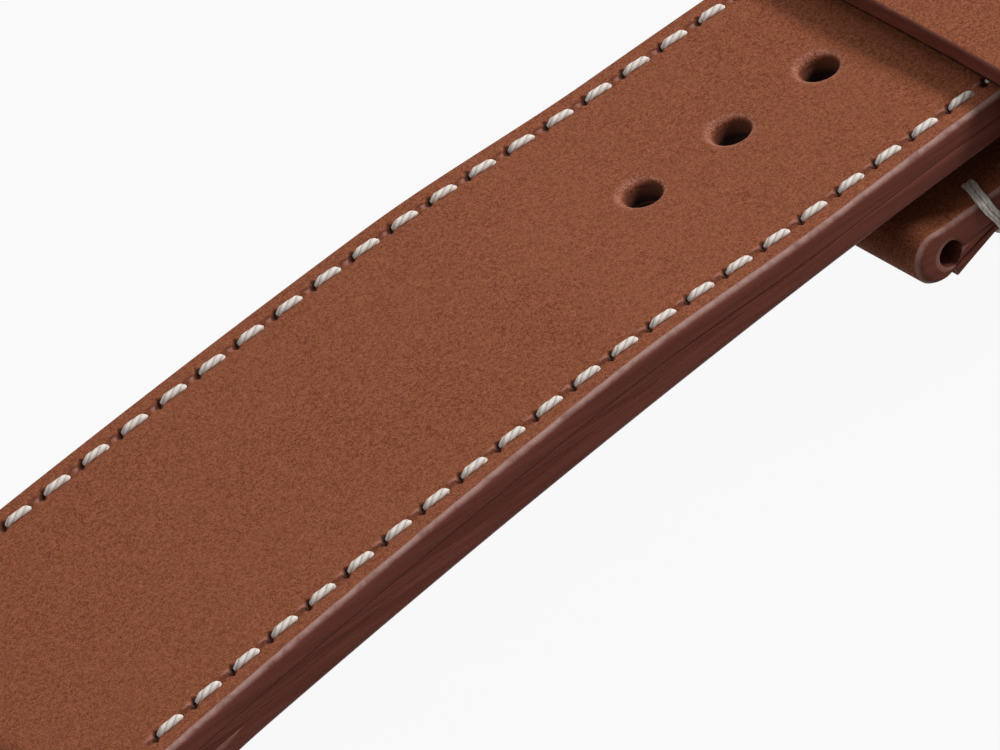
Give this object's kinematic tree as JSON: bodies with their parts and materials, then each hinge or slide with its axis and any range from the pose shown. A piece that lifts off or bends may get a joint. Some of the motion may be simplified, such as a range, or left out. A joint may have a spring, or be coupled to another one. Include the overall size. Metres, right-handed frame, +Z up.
{
  "type": "leather watch strap",
  "caption": "Two-piece stitched leather watch strap for a pin buckle, closed over a fixed and a sliding keeper, standing in a low arch on its spring-bar rolls.",
  "frame": {"origin": "on the floor, midway between the two spring-bar rolls that the strap stands on", "axes": "+X along the strap from the long piece's spring bar to the short piece's, +Y across it towards the far edge, +Z up"},
  "size_m": [0.1336, 0.0252, 0.0124],
  "materials": {
    "upper_leather": "satin, fine mottled grain",
    "lining_leather": "matte, burnished edge",
    "padding": "matte, burnished edge",
    "stay_tape": "woven, matte",
    "thread": "waxed linen, matte"
  },
  "bodies": {
    "short_piece": {"short_upper": "upper_leather", "short_lining": "lining_leather", "short_core": "padding", "short_stay": "stay_tape", "short_near_top_thread": "thread", "short_near_bobbin_thread": "thread", "short_far_top_thread": "thread", "short_far_bobbin_thread": "thread", "buckle_tack_near": "thread", "buckle_tack_far": "thread", "fixed_keeper": "upper_leather", "keeper_tack_thread": "thread"},
    "long_piece": {"long_upper": "upper_leather", "long_lining": "lining_leather", "long_core": "padding", "long_stay": "stay_tape", "long_top_thread": "thread", "long_bobbin_thread": "thread"},
    "free_keeper": {"free_keeper": "upper_leather", "free_keeper_thread": "thread"}
  },
  "joints": [
    {"name": "tail_slide", "type": "hinge", "parent": "short_piece", "child": "long_piece", "pos_m": [0.02311, 0, -0.51623], "axis": [0, 1, 0], "range_deg": [-2.67, 1.33]},
    {"name": "free_keeper_slide", "type": "hinge", "parent": "short_piece", "child": "free_keeper", "pos_m": [0.02311, 0, -0.51623], "axis": [0, 1, 0], "range_deg": [-0.39, 0.66]}
  ]
}
